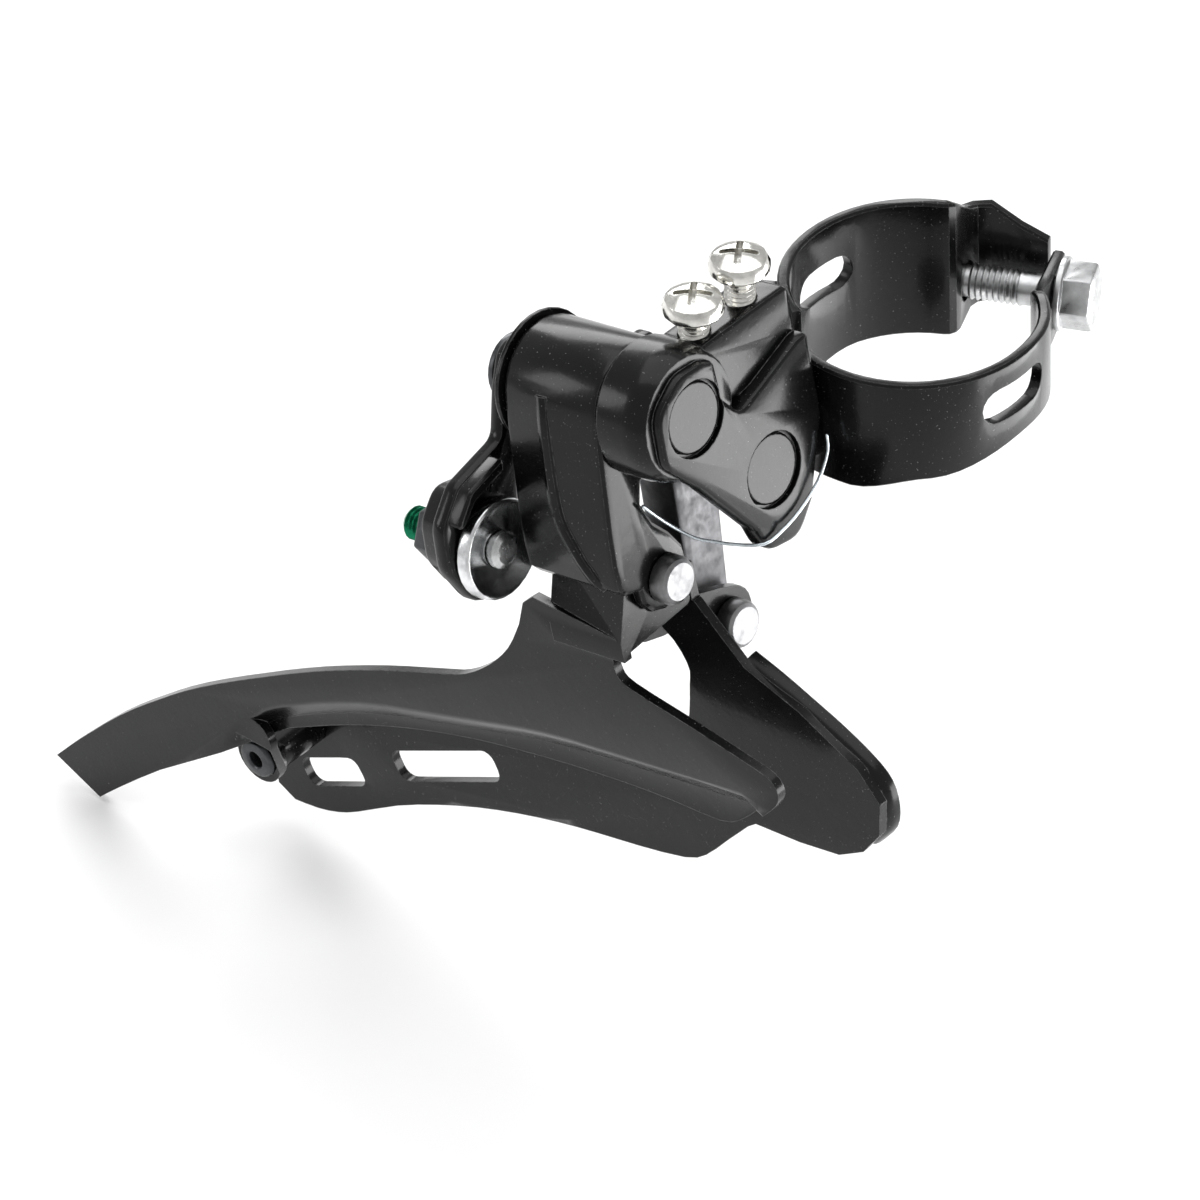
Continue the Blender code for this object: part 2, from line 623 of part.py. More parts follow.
def build_outer_link():
    shell = prism(link_outline(), LINK_D0, LINK_D1, 1.1, 3)
    obj = finish("outer_link", shell, link_matrix(*PIVOT_A), BLACK)
    # hollow between the two side walls, open on the inboard side and underneath
    bowl = [((HUB_R - WALL) * math.cos(a), (HUB_R - WALL) * math.sin(a)) for a in
            [math.radians(15 * k) for k in range(13)]]
    hollow = bowl + [(-20.0, 0.0), (-20.0, -40.0), (8.2, -40.0), (8.45, -22.6), (8.6, -19.0), (8.3, -14.0),
                     (7.7, -8.0), (7.15, -3.0)]
    cut(obj, prism(hollow, LINK_D0 + WALL, LINK_D1 - WALL), link_matrix(*PIVOT_A), "cut_link_hollow")
    cut(obj, prism(bore(0, 0, PIN_R + RUN), 0, 40), link_matrix(*PIVOT_A), "cut_link_bore_a")
    cut(obj, prism(bore(0, 0, LOWER_PIN_R + RUN), 0, 40), link_matrix(*PIVOT_C), "cut_link_bore_c")
    # raised rib down the outboard side
    rib = spline([(7.2, 2.8, 18.75), (8.15, -2.0, 18.6), (9.0, -8.9, 18.4), (9.5, -14.0, 17.75),
                  (9.75, -18.2, 15.7), (9.65, -21.3, 13.7), (8.9, -23.0, 12.9)], 4)
    join(obj, tube_along(rib, 1.15, 8), link_matrix(*PIVOT_A), "cut_rib")
    return obj


def build_inner_link():
    """Channel-shaped stamped link between the two inboard pivots."""
    b = (0.0, 0.0)
    d = LINK
    loop = hull_discs([(b[0], b[1], 4.3), (d[0], d[1], 3.5)], 8)
    d0, d1 = 14.2, 20.5
    obj = finish("inner_link", prism(loop, d0, d1, 0.6), link_matrix(*PIVOT_B), ((0.30, 0.30, 0.31), 0.45, 0.9))
    inner = hull_discs([(b[0] - 4.0, b[1] + 1.0, 4.2), (d[0] - 4.0, d[1] + 3.6, 4.0), (b[0], b[1] + 1.0, 3.0),
                        (d[0] + 0.2, d[1] - 0.6, 2.4), (d[0] - 4.0, d[1] - 6.0, 2.0)], 5)
    cut(obj, prism(inner, d0 + 1.3, d1 - 1.3), link_matrix(*PIVOT_B), "cut_inner_hollow")
    cut(obj, prism(bore(0, 0, PIN_R + RUN), 0, 40), link_matrix(*PIVOT_B), "cut_inner_bore_b")
    cut(obj, prism(bore(0, 0, LOWER_PIN_R + RUN), 0, 40), link_matrix(*PIVOT_D),
        "cut_inner_bore_d")
    return obj


def build_lower_pins():
    """Headed pins at the cage end, peened at the rear."""
    for name, pivot, face, end in (("pivot_pin_outer_lower", PIVOT_C, 6.6, LINK_D1 + 1.3),
                                   ("pivot_pin_inner_lower", PIVOT_D, 8.6, REAR_D1 + 1.0)):
        seat = LINK_D0 - 0.12 if pivot is PIVOT_C else FLANGE_D0 - 0.12
        profile = [(0, face), (2.5, face), (3.0, face + 0.35), (3.25, face + 0.9), (3.3, seat),
                   (LOWER_PIN_R, seat), (LOWER_PIN_R, end - 0.3), (LOWER_PIN_R - 0.3, end), (0, end)]
        finish(name, lathe(profile, 28), link_matrix(*pivot), STEEL)


def build_retainer():
    """Washer-like clip behind the hub of the outer link."""
    bm = lathe([(PIN_R + 0.02, ARM_D1 + 0.1), (4.6, ARM_D1 + 0.1), (4.6, ARM_D1 + 0.9),
                (PIN_R + 0.02, ARM_D1 + 0.9)], 28, closed=True)
    return finish("pivot_retaining_ring", bm, link_matrix(*PIVOT_A), ((0.05, 0.05, 0.05), 0.35, 0.6))


def build_hub_cap():
    """Thin end disc between the hub and the cable arm."""
    face = LINK_D1 + 0.15
    bm = lathe([(PIN_R + RUN, face), (HUB_R + 0.5, face), (HUB_R + 0.5, face + 0.6), (HUB_R, face + 0.9),
                (5.0, face + 0.9), (5.0, ARM_D0 - 0.15), (PIN_R + RUN, ARM_D0 - 0.15)], 32, closed=True)
    return finish("hub_end_disc", bm, link_matrix(*PIVOT_A), BLACK)


def build_spring():
    """Torsion return spring round the upper pivot, inside the hub."""
    turns, pitch, r, wire = 5, 1.75, 4.6, 0.62
    steps = 12
    start = LINK_D0 + WALL + 1.2
    path = []
    for i in range(turns * steps + 1):
        a = 2 * math.pi * i / steps
        path.append((r * math.cos(a), r * math.sin(a), start + pitch * i / steps))
    bm = tube_along(path, wire, 6)
    return finish("return_spring", bm, link_matrix(*PIVOT_A), ((0.5, 0.5, 0.5), 0.35, 1.0))


# ---------------------------------------------------------------- cable arm

def build_cable_arm():
    """Thick stamped arm that turns with the outer link and takes the cable."""
    eye = ARM_EYE
    loop = rounded([(-6.0, -3.2, 4.0), (-3.8, 5.0, 4.0), (3.0, 5.0, 3.5), (5.4, 0.0, 3.0),
                    (7.4, -6.2, 2.0), (16.4, -8.2, 3.0), (20.4, -12.4, 4.0), (20.9, -18.8, 5.0),
                    (17.4, -25.6, 5.0), (10.8, -26.2, 4.5), (7.4, -20.0, 4.0), (5.4, -10.4, 4.0),
                    (-0.6, -6.4, 3.0)], 2.0, 4)
    obj = finish("cable_arm", prism(loop, ARM_D0, ARM_D1, 0.7, 2), link_matrix(*PIVOT_A), BLACK)
    ridge = rounded([(9.4, -6.9, 0.6), (16.2, -8.6, 1.2), (19.6, -12.2, 0.8), (18.4, -12.9, 0.6),
                     (15.6, -10.4, 1.0), (9.6, -8.9, 0.6)], 1.0, 2)
    join(obj, prism(ridge, ARM_D0 - 2.0, ARM_D0 + 0.4, 0.4, 1), link_matrix(*PIVOT_A), "cut_arm_ridge")
    pad = rounded([(9.4, -11.0, 2.0), (15.6, -9.6, 3.0), (19.2, -13.2, 3.5), (19.6, -18.8, 4.5),
                   (16.6, -24.4, 4.5), (11.2, -24.9, 4.0), (8.8, -19.5, 3.0)], 2.0, 4)
    join(obj, prism(pad, ARM_D1 - 0.8, PAD_D, 0.7, 2), link_matrix(*PIVOT_A), "cut_arm_pad")
    cut(obj, prism(bore(0, 0, PIN_R + 0.02), 0, 50), link_matrix(*PIVOT_A), "cut_arm_bore")
    cut(obj, prism(circle(eye[0], eye[1], 2.7, 24), 0, 50), link_matrix(*PIVOT_A), "cut_arm_eye")
    return obj


def eye_matrix():
    return link_matrix(PIVOT_A[0] + ARM_EYE[0], PIVOT_A[1] + ARM_EYE[1], 0.0)


def build_cable_clamp():
    """Bolt, dished washer and nut that pinch the cable on the arm."""
    m = eye_matrix()
    dish0 = ARM_D0 - 0.15
    bolt = [(0, dish0 - 3.1), (1.7, dish0 - 3.0), (2.5, dish0 - 2.5), (2.5, dish0 - 1.75), (2.2, dish0 - 1.75),
            (2.2, PAD_D + 4.0)]
    z = PAD_D + 4.2
    while z < PAD_D + 7.6:
        bolt += [(1.9, z), (2.3, z + 0.33)]
        z += 0.72
    bolt += [(1.9, z + 0.1), (1.5, z + 0.5), (0, z + 0.5)]
    finish("cable_clamp_bolt", lathe(bolt, 18), m, ((0.60, 0.62, 0.60), 0.3, 1.0))
    dish = [(2.35, dish0), (6.4, dish0), (6.8, dish0 - 0.6), (6.7, dish0 - 2.0), (6.3, dish0 - 2.3),
            (5.7, dish0 - 2.0), (4.2, dish0 - 1.3), (2.7, dish0 - 1.2), (2.35, dish0 - 1.2)]
    finish("cable_clamp_washer", lathe(dish, 28, closed=True), m, ((0.72, 0.72, 0.72), 0.15, 1.0))
    corner = 8.0 / math.sqrt(3)
    nut = prism(rounded(circle(0, 0, corner, 6), 0.3, 1), PAD_D + 0.15, PAD_D + 3.9, 0.5)
    obj = finish("cable_clamp_nut", nut, m, ((0.05, 0.06, 0.055), 0.35, 0.8))
    cut(obj, prism(circle(0, 0, 2.26, 24), 0, 60), m, "cut_cable_nut")


# ---------------------------------------------------------------- cage

def outer_sketch():
    """Outline of the outer cage plate in x, z."""
    top = spline([(-117.0, -92.4), (-111.6, -86.6), (-103.0, -78.1), (-94.5, -70.9), (-86.0, -64.5),
                  (-74.0, -56.8), (-62.5, -50.0), (-51.0, -44.1), (-40.5, -39.4), (-35.5, -37.0),
                  (-31.0, -33.2), (-27.4, -28.6), (-25.2, -23.6)], 3)
    neck = [(-24.3, -19.6), (-22.6, -17.9), (-8.6, -17.9), (-7.8, -18.8)]
    front = spline([(-9.1, -21.4), (-8.6, -23.6), (-6.4, -24.9), (3.6, -26.1), (13.0, -27.4), (16.6, -28.2),
                    (18.0, -29.9), (17.5, -32.2), (15.4, -34.9)], 3)
    lip = spline([(12.4, -37.0), (9.4, -40.2), (6.0, -41.9), (-2.0, -42.7), (-9.0, -43.7), (-16.0, -45.0),
                  (-23.0, -46.5), (-33.6, -49.2), (-41.0, -51.5), (-48.3, -54.2), (-55.7, -57.4),
                  (-63.4, -61.3), (-71.4, -65.8)], 2)
    tail = spline([(-74.6, -68.2), (-79.3, -71.8), (-87.5, -78.0), (-95.8, -84.3), (-104.4, -91.8),
                   (-108.9, -96.0)], 2)
    return top + neck + front + lip + tail


def crease():
    """Line where the outer plate starts to turn inboard, in x, z."""
    return spline([(-82.0, -70.6), (-76.6, -64.4), (-70.6, -59.7), (-55.3, -51.5), (-36.9, -44.8),
                   (-22.5, -39.9), (-1.8, -35.2), (14.6, -32.2)], 4)


def curve_height(curve, x):
    for (x0, z0), (x1, z1) in zip(curve, curve[1:]):
        if x0 <= x <= x1:
            return z0 + (z1 - z0) * (x - x0) / (x1 - x0)
    return None


def outer_relief(x, z):
    """How far the outer plate's face sits inboard of its flat upper part."""
    line = crease()
    zc = curve_height(line, x)
    if zc is None:
        return 0.0
    drop = (zc - z) * 0.92
    fade = min(1.0, max(0.0, (x + 82.0) / 8.0))
    if drop <= 0.0:
        return 0.0
    slope = min(drop, 3.0) / 3.0
    return fade * (1.9 * slope * slope * (3 - 2 * slope) + (0.35 if drop > 3.3 else 0.0))


def sheet(outline, face_y, thick, relief, guides=()):
    """Thin plate in the x, z plane, its faces displaced by a relief function."""
    loop = ccw(outline)
    verts = [Vector(p) for p in loop]
    count = len(verts)
    edges = [(i, (i + 1) % count) for i in range(count)]
    for guide in guides:
        kept = [p for p in guide if inside(p, loop, 0.7)]
        base = len(verts)
        verts += [Vector(p) for p in kept]
        edges += [(base + i, base + i + 1) for i in range(len(kept) - 1)]
    res = delaunay_2d_cdt(verts, edges, [], 1, 1e-5)
    pts, tris = res[0], res[2]
    bm = bmesh.new()
    front, back = [], []
    for p in pts:
        y = face_y + relief(p.x, p.y)
        front.append(bm.verts.new((p.x, y, p.y)))
        back.append(bm.verts.new((p.x, y + thick, p.y)))
    used = {}
    for tri in tris:
        mid = sum((pts[i] for i in tri), Vector((0, 0))) / len(tri)
        if not inside(mid, loop, 0.0):
            continue
        bm.faces.new([front[i] for i in tri])
        bm.faces.new([back[i] for i in reversed(tri)])
        for i in range(len(tri)):
            key = (tri[i - 1], tri[i])
            used[key] = True
    for a, b in list(used):
        if (b, a) not in used:
            bm.faces.new((front[b], front[a], back[a], back[b]))
    loose = [v for v in bm.verts if not v.link_faces]
    bmesh.ops.delete(bm, geom=loose, context="VERTS")
    return bm


def inside(p, loop, margin):
    x, y = p[0], p[1]
    hit = False
    for i in range(len(loop)):
        (x0, y0), (x1, y1) = loop[i - 1], loop[i]
        if (y0 > y) != (y1 > y) and x < (x1 - x0) * (y - y0) / (y1 - y0) + x0:
            hit = not hit
        if margin:
            a, b = Vector((x0, y0)), Vector((x1, y1))
            e = b - a
            u = min(1.0, max(0.0, (Vector((x, y)) - a).dot(e) / max(e.length_squared, 1e-12)))
            if (Vector((x, y)) - a - e * u).length < margin:
                return False
    return hit


def shifted(curve, dz):
    return [(x, z - dz) for x, z in curve]


def build_cage_outer():
    line = crease()
    guides = [line] + [shifted(line, k) for k in (1.0, 2.2, 3.3, 3.6)]
    bm = sheet(outer_sketch(), OUTER_Y, PLATE_T, outer_relief, guides)
    obj = finish("cage_plate_outer", bm, Matrix.Identity(4), BLACK, angle=40)
    # neck that leans inboard above the plate and carries the two pivot flanges
    n0, n1 = -OUTER_Y, 46.9
    t0, t1 = -19.4, -6.4
    web = [(n0 + 0.05, t0), (n0 + 0.05, -16.6), (n1, t1), (n1 - 1.3, t1), (n0 - 1.35, -16.9),
           (n0 - 1.35, t0)]
    join(obj, prism(web, FLANGE_D0, REAR_D1), link_matrix(), "cut_neck_web")
    cx, ct = PIVOT_C
    flange = rounded([(n0 - 0.1, -17.4, 0.6), (n1, t1, 0.8), (cx + 3.2, ct + 5.0, 3.0),
                      (cx - 3.4, ct + 4.0, 4.0), (cx - 4.4, ct - 2.8, 3.0), (37.2, -15.6, 1.0),
                      (37.2, -17.8, 0.8), (n0 - 0.4, -18.6, 0.5)], 1.0, 4)
    join(obj, prism(flange, FLANGE_D0, FLANGE_D1), link_matrix(), "cut_flange_front")
    join(obj, prism(flange, REAR_D0, REAR_D1), link_matrix(), "cut_flange_rear")
    cut(obj, prism(bore(cx, ct, LOWER_PIN_R + 0.03), 0, 40), link_matrix(), "cut_cage_bore_c")
    for tag, d in (("f", 0), ("r", 8)):
        cut(obj, prism(bore(JOIN_N, JOIN_T, 1.23, 14), d + 8, d + 17), link_matrix(), "cut_join_" + tag)
    # ear under the tail, stepped inboard, with the spacer's hole
    ex, ez = TAIL_EYE
    ear = hull_discs([(ex, -ez, 4.0), (ex + 2.6, -ez - 7.0, 3.4)], 6)
    ear = [(x, -y) for x, y in ear]
    step = sheet(ear, OUTER_Y + 0.2, PLATE_T, lambda x, z: 3.4 * ease((-69.6 - z) / 3.2),
                 [[(ex - 6 + 0.5 * k, z) for k in range(30)] for z in (-69.6, -70.6, -71.7, -72.8)])
    join(obj, step, Matrix.Identity(4), "cut_ear")
    hole = axis_matrix((ex, -45, ez), (0, 1, 0))
    cut(obj, prism(bore(0, 0, 2.03, 20), -4.5, 3), hole, "cut_ear_hole")
    return obj


def inner_sketch():
    """Outline of the inner cage plate in x, z."""
    neck = [(-9.2, -19.6), (-7.0, -19.4)]
    front = [(1.2, -26.4), (10.1, -29.2), (20.0, -33.6), (23.8, -37.4), (23.6, -42.6), (20.8, -46.8),
             (16.6, -49.6), (10.0, -50.9), (2.6, -51.6)]
    low = spline([(1.2, -52.8), (-2.7, -57.4), (-6.6, -62.0), (-10.4, -64.4), (-18.7, -66.7), (-25.8, -68.3),
                  (-33.0, -70.1), (-40.4, -72.4), (-47.8, -75.2), (-55.4, -78.7), (-63.2, -82.9),
                  (-71.1, -88.1), (-75.0, -90.2), (-79.0, -91.5), (-83.4, -92.2)], 2)
    tail = [(-86.4, -90.6), (-86.8, -84.0), (-85.6, -74.6), (-80.0, -71.6), (-73.5, -71.9)]
    top = spline([(-64.0, -67.0), (-52.0, -60.8), (-40.0, -55.4), (-27.0, -50.6), (-17.0, -47.4),
                  (-11.0, -44.6), (-8.9, -41.0), (-8.3, -34.0), (-8.6, -30.4), (-12.8, -26.4),
                  (-23.0, -24.0), (-23.6, -21.0)], 3)
    return neck + front + low + tail + top


def inner_relief(x, z):
    """Shallow pressed field across the middle of the inner plate."""
    fade = ease((x + 71.0) / 5.0)
    mid = curve_height([(-90.0, -84.0), (-60.0, -72.6), (-30.0, -61.5), (0.0, -46.0), (24.0, -40.0)], x)
    if mid is None:
        return 0.0
    half = 6.0 if x < -8 else 9.0
    return -0.5 * fade * ease(1.4 - abs(z - mid) / half)


def build_cage_inner():
    line = [(-84.0, -81.7), (-60.0, -72.6), (-30.0, -61.5), (0.0, -46.0), (20.0, -41.0)]
    guides = [shifted(spline(line, 4), k) for k in (-6.5, -3.5, 0.0, 3.5, 6.5)]
    bm = sheet(inner_sketch(), INNER_Y, PLATE_T, inner_relief, guides)
    obj = finish("cage_plate_inner", bm, Matrix.Identity(4), BLACK, angle=40)
    # rim turned inboard along the front upper edge
    rim_line = spline([(0.6, -26.0), (5.2, -27.4), (10.1, -29.2), (15.2, -31.2), (20.0, -33.6), (22.8, -35.9),
                       (23.9, -39.4), (23.5, -43.0), (21.2, -46.4)], 3)
    join(obj, rim_solid(rim_line, 3.0), Matrix.Identity(4), "cut_rim")
    # windows
    for tag, cx, cz, w, h in (("large", -53.0, -70.3, 21.4, 4.9), ("small", -75.2, -83.0, 12.6, 4.6)):
        box = rounded([(-w / 2, -h / 2), (w / 2, -h / 2), (w / 2, h / 2), (-w / 2, h / 2)], 1.8, 4)
        m = Matrix.Translation((cx, INNER_Y, cz)) @ Matrix.Rotation(math.radians(-27.0), 4, "Y")
        m = m @ Matrix.Rotation(math.radians(90.0), 4, "X")
        cut(obj, prism(box, -4, 4), m, "cut_window_" + tag)
    # ears bent inboard for the lower inner pivot and tabs to the outer plate's flanges
    dx, dt = PIVOT_D
    ni = -INNER_Y
    ear = rounded([(ni - 0.1, -17.2, 1.0), (ni - 0.1, -27.6, 1.0), (dx + 1.2, dt - 4.5, 4.0),
                   (dx - 4.3, dt - 3.8, 3.8), (dx - 4.3, dt + 3.4, 3.8), (dx + 1.0, dt + 5.6, 3.0)], 1.0, 4)
    tab = rounded([(ni - 1.3, -12.6, 1.0), (40.9, -12.2, 1.4), (40.9, -16.6, 1.4), (ni - 1.3, -19.4, 1.0)])
    join(obj, prism(ear, FLANGE_D0, FLANGE_D1), link_matrix(), "cut_ear_front")
    join(obj, prism(ear, REAR_D0, REAR_D1), link_matrix(), "cut_ear_rear")
    join(obj, prism(tab, FLANGE_D1 + 0.15, FLANGE_D1 + 1.4), link_matrix(), "cut_tab_front")
    join(obj, prism(tab, REAR_D0 - 1.4, REAR_D0 - 0.15), link_matrix(), "cut_tab_rear")
    web = [(ni, -12.6), (ni, -22.0), (ni - PLATE_T, -22.0), (ni - PLATE_T, -12.6)]
    join(obj, prism(web, FLANGE_D0, REAR_D1 + 0.4), link_matrix(), "cut_inner_neck")
    cut(obj, prism(bore(dx, dt, LOWER_PIN_R + 0.03), 0, 40), link_matrix(), "cut_cage_bore_d")
    for tag, d in (("f", 0), ("r", 8)):
        cut(obj, prism(bore(JOIN_N, JOIN_T, 1.23, 14), d + 8, d + 17), link_matrix(), "cut_tab_hole_" + tag)
    ex, ez = TAIL_EYE
    cut(obj, prism(bore(0, 0, 2.03, 20), -6, 6), axis_matrix((ex, INNER_Y, ez), (0, 1, 0)), "cut_tail_hole")
    return obj


def rim_solid(line, width):
    """Rounded flange that turns from the inner plate's face towards the bike."""
    profile = [(0.0, 0.0), (0.2, 0.5), (0.65, 1.0), (1.0, 1.5), (1.2, 2.2), (1.25, width)]
    inner = [(-1.2, 1.35), (-0.8, 1.6), (-0.4, 1.9), (-0.1, 2.4), (0.0, 2.8), (0.0, width)]
    section = profile + list(reversed(inner))
    rings = []
    count = len(line)
    for i, (x, z) in enumerate(line):
        a, b = Vector(line[max(i - 1, 0)]), Vector(line[min(i + 1, count - 1)])
        t = (b - a).normalized()
        out = Vector((-t.y, t.x))
        rings.append([(x + out.x * (u - 0.9), INNER_Y + v, z + out.y * (u - 0.9)) for u, v in section])
    bm = bmesh.new()
    made = add_rings(bm, rings)
    bm.faces.new(list(reversed(made[0])))
    bm.faces.new(made[-1])
    return bm


def build_cage_fasteners():
    """Rivets between the two plates and the hollow spacer at the tail."""
    for name, flush, turn in (("cage_rivet_front", FLANGE_D0 + 0.1, 1.0), ("cage_rivet_rear", REAR_D1 - 0.1, -1.0)):
        profile = [(0, 0), (1.2, 0), (1.2, 2.75), (1.9, 2.75), (1.7, 3.15), (0, 3.3)]
        profile = [(r, h * turn) for r, h in profile]
        finish(name, lathe(profile, 14), link_matrix(JOIN_N, JOIN_T, flush), BLACK)
    ex, ez = TAIL_EYE
    at = axis_matrix((ex, 0, ez), (0, 1, 0))
    ear_back = OUTER_Y + 0.2 + 3.4 + PLATE_T
    plate_face = INNER_Y
    spacer = [(2.05, ear_back + 0.12), (3.3, ear_back + 0.12), (3.3, plate_face - 0.12),
              (2.05, plate_face - 0.12)]
    finish("cage_tail_spacer", lathe(spacer, 20, closed=True), at, BLACK)
    y0 = ear_back - PLATE_T - 0.1
    y1 = INNER_Y + PLATE_T + 0.1
    rivet = [(1.2, y0 - 0.5), (1.5, y0 - 0.8), (2.7, y0 - 0.6), (3.1, y0), (2.0, y0), (2.0, y1),
             (3.0, y1), (2.7, y1 + 0.5), (1.5, y1 + 0.7), (1.2, y1 + 0.4)]
    finish("cage_tail_rivet", lathe(rivet, 20, closed=True), at, ((0.04, 0.04, 0.045), 0.3, 0.6))


def build_tie_wire():
    """Thin steel wire that holds the cage for shipping, looped under the bracket."""
    pts = [(19.2, 0.4, -0.6), (19.6, -2.0, -0.6), (22.2, -4.9, -0.6), (26.4, -7.0, -0.6), (30.2, -7.9, -0.6),
           (33.4, -8.2, -0.2), (35.4, -7.9, 2.8), (36.9, -7.2, 5.0), (38.8, -5.9, 6.5), (41.8, -2.3, 8.0),
           (44.6, 1.6, 8.5)]
    base = link_matrix()
    path = [tuple(base @ Vector(p)) for p in spline(pts, 3)]
    bm = tube_along(path, 0.26, 6)
    return finish("shipping_tie_wire", bm, Matrix.Identity(4), ((0.45, 0.47, 0.50), 0.3, 1.0))


def main():
    for obj in list(bpy.data.objects):
        bpy.data.objects.remove(obj)
    build_band_fixed()
    build_band_hinged()
    build_hinge_pin()
    build_clamp_bolt()
    build_clamp_nut()
    build_rivets()
    build_bracket()
    build_limit_screw("high")
    build_limit_screw("low")
    build_upper_pins()
    build_outer_link()
    build_inner_link()
    build_lower_pins()
    build_hub_cap()
    build_retainer()
    build_spring()
    build_cable_arm()
    build_cable_clamp()
    build_cage_outer()
    build_cage_inner()
    build_cage_fasteners()
    build_tie_wire()


main()
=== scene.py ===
"""Looks for the front derailleur: enamel, plated steel, edges lightened partly as wear and partly
as a painted highlight, and a pale studio.
"""
import json
import math

import bmesh
import bpy
from mathutils import Matrix, Vector

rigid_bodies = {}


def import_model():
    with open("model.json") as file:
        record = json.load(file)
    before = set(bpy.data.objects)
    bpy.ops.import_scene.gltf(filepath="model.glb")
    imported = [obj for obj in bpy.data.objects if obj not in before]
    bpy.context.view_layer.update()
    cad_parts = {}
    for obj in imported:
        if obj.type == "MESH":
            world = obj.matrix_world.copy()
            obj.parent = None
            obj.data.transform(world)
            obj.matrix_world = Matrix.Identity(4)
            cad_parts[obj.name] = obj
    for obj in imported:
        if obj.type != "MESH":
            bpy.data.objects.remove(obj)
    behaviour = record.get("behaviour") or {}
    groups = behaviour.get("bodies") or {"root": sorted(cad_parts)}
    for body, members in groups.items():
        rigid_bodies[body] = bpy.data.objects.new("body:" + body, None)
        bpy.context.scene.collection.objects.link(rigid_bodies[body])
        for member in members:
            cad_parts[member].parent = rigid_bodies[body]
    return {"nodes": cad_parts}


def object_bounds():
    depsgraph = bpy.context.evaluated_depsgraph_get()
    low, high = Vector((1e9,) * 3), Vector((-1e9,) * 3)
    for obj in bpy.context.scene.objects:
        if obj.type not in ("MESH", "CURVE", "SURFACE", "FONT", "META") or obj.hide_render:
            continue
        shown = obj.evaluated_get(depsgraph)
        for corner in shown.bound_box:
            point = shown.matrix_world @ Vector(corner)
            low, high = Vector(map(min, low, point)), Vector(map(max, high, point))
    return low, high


for old in list(bpy.data.objects):
    bpy.data.objects.remove(old)
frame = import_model()
CAD_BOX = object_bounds()
MM = 0.001
TILT = math.radians(10.5)  # how far the pivots' axes rise towards the front

# finishes of the black parts
ENAMEL_TONE = 0.0032
ENAMEL_ROUGHNESS = 0.21
# grey of the rubbed enamel edges: partly real wear, partly a painted highlight along the rims
ENAMEL_WEAR_AND_HIGHLIGHT = (0.16, 0.16, 0.165)
DUST = (0.22, 0.22, 0.23)
DUST_AMOUNT = 0.45
EDGE_RADIUS = 0.22 * MM
METAL_EDGE_RADIUS = 0.15 * MM

# green thread-lock: where it starts behind the body, and its colour
GREEN_FROM, GREEN_FULL = 36.2 * MM, 37.0 * MM
GREEN = (0.012, 0.17, 0.085)

# rounding of the solids' edges
MERGE_DISTANCE = 2e-6
FLAT_ANGLE = math.radians(0.8)
BEVEL_ANGLE = math.radians(38.0)
SHARP_ANGLE = math.radians(28.0)
SMALL_EDGE = 0.10
SOFT_EDGE = {  # width of the rounded edge, millimetres
    "clamp_band_fixed": 0.30,
    "clamp_band_hinged": 0.30,
    "cage_plate_outer": 0.28,
    "cage_plate_inner": 0.28,
    "bracket_body": 0.30,
    "outer_link": 0.28,
    "cable_arm": 0.30,
    "hub_end_disc": 0.15,
}

# nodes with a finish other than black enamel
LOOK_OF = {
    "cable_clamp_bolt": "green",
    "cable_clamp_nut": "dark",
    "cable_clamp_washer": "chrome",
    "cage_tail_rivet": "dark",
    "clamp_bolt": "zinc",
    "clamp_hinge_pin": "zinc",
    "clamp_nut": "dark",
    "inner_link": "grey",
    "limit_screw_high": "nickel",
    "limit_screw_low": "nickel",
    "mounting_rivet_lower": "zinc",
    "mounting_rivet_upper": "zinc",
    "pivot_pin_inner_lower": "pin",
    "pivot_pin_outer_lower": "pin",
    "pivot_retaining_ring": "dark",
    "return_spring": "spring",
    "shipping_tie_wire": "wire",
}

# studio
FLOOR_HALF = 3.0
FLOOR_GAP = 0.6 * MM
AMBIENT = 0.62
CENTRE = (-0.02, -0.03, -0.02)
SOFTBOXES = [  # name, place, aim, size, power
    ("overhead", (-0.1, 0.2, 1.3), CENTRE, (1.8, 1.4), 12.5),
    ("front_low", (0.135, 0.085, -0.052), (-0.02, -0.03, 0.0), (0.20, 0.085), 0.46),
    ("back_left", (-0.64, 0.52, 0.37), CENTRE, (0.55, 0.36), 3.4),
    ("outboard", (-0.55, -0.55, 0.25), CENTRE, (0.22, 0.30), 0.9),
]
VIEW_FROM = (0.45946, -0.56091, 0.53560)
VIEW_RIGHT = (0.75597, 0.65337, -0.04013)
VIEW_UP = (-0.38183, 0.48993, 0.78369)
VIEW_LENS, VIEW_SENSOR = 209.25, 36.0


# ---------------------------------------------------------------- materials

